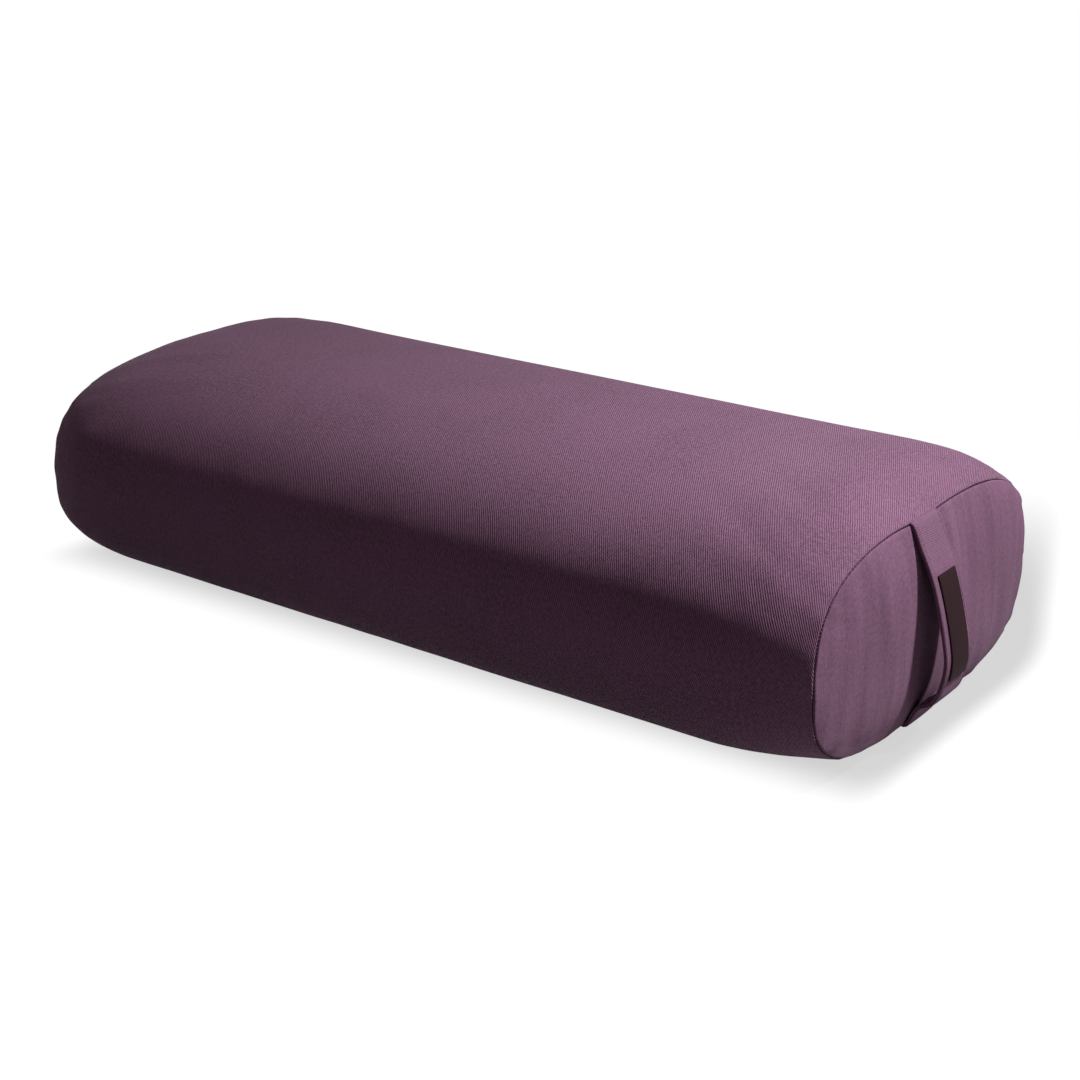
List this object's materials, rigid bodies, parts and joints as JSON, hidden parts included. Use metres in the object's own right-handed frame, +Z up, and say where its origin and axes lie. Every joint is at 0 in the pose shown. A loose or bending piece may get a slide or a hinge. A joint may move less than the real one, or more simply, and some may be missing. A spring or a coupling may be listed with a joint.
{
  "type": "yoga bolster",
  "caption": "Rectangular crowned cushion with a zipped twill cover, domed ends and a carry strap with a bare label at one end.",
  "frame": {"origin": "on the floor under the middle of the cushion, at the middle of its flat resting face", "axes": "+X along the length towards the strap end, +Y towards the zipper side, +Z up"},
  "size_m": [0.6526, 0.3085, 0.1524],
  "materials": {
    "cover_twill": "matte",
    "strap_twill": "matte",
    "label": "satin",
    "zipper_tape": "matte",
    "zipper_coil": "satin",
    "zipper_metal": "satin",
    "liner_cotton": "matte",
    "batting": "matte",
    "foam": "matte"
  },
  "bodies": {
    "cushion": {"cover_sleeve": "cover_twill", "cover_end_strap": "cover_twill", "cover_end_plain": "cover_twill", "handle_tail_top": "strap_twill", "handle_tail_bottom": "strap_twill", "zipper_tape_upper": "zipper_tape", "zipper_tape_lower": "zipper_tape", "zipper_coil_upper": "zipper_coil", "zipper_coil_lower": "zipper_coil", "zipper_top_stop_upper": "zipper_metal", "zipper_top_stop_lower": "zipper_metal", "zipper_bottom_stop": "zipper_metal", "liner_sleeve": "liner_cotton", "liner_end_strap": "liner_cotton", "liner_end_plain": "liner_cotton", "batting_wrap": "batting", "batting_end_strap": "batting", "batting_end_plain": "batting", "foam_slab_lower": "foam", "foam_slab_middle": "foam", "foam_slab_upper": "foam"},
    "handle": {"handle_loop": "strap_twill", "handle_label": "label"},
    "slider": {"zipper_slider": "zipper_metal"},
    "pull": {"zipper_pull": "zipper_metal"}
  },
  "joints": [
    {"name": "handle_swing", "type": "hinge", "parent": "cushion", "child": "handle", "pos_m": [0.3064, -0.013, 0.07], "axis": [0, 0, 1], "range_deg": [-20, 20]},
    {"name": "zipper_slide", "type": "slide", "parent": "cushion", "child": "slider", "axis": [-1, 0, 0], "range_m": [0, 0.392]},
    {"name": "pull_swing", "type": "hinge", "parent": "slider", "child": "pull", "pos_m": [0.196, 0.15405, 0.0687], "axis": [0, 0, -1], "range_deg": [0, 165]}
  ]
}
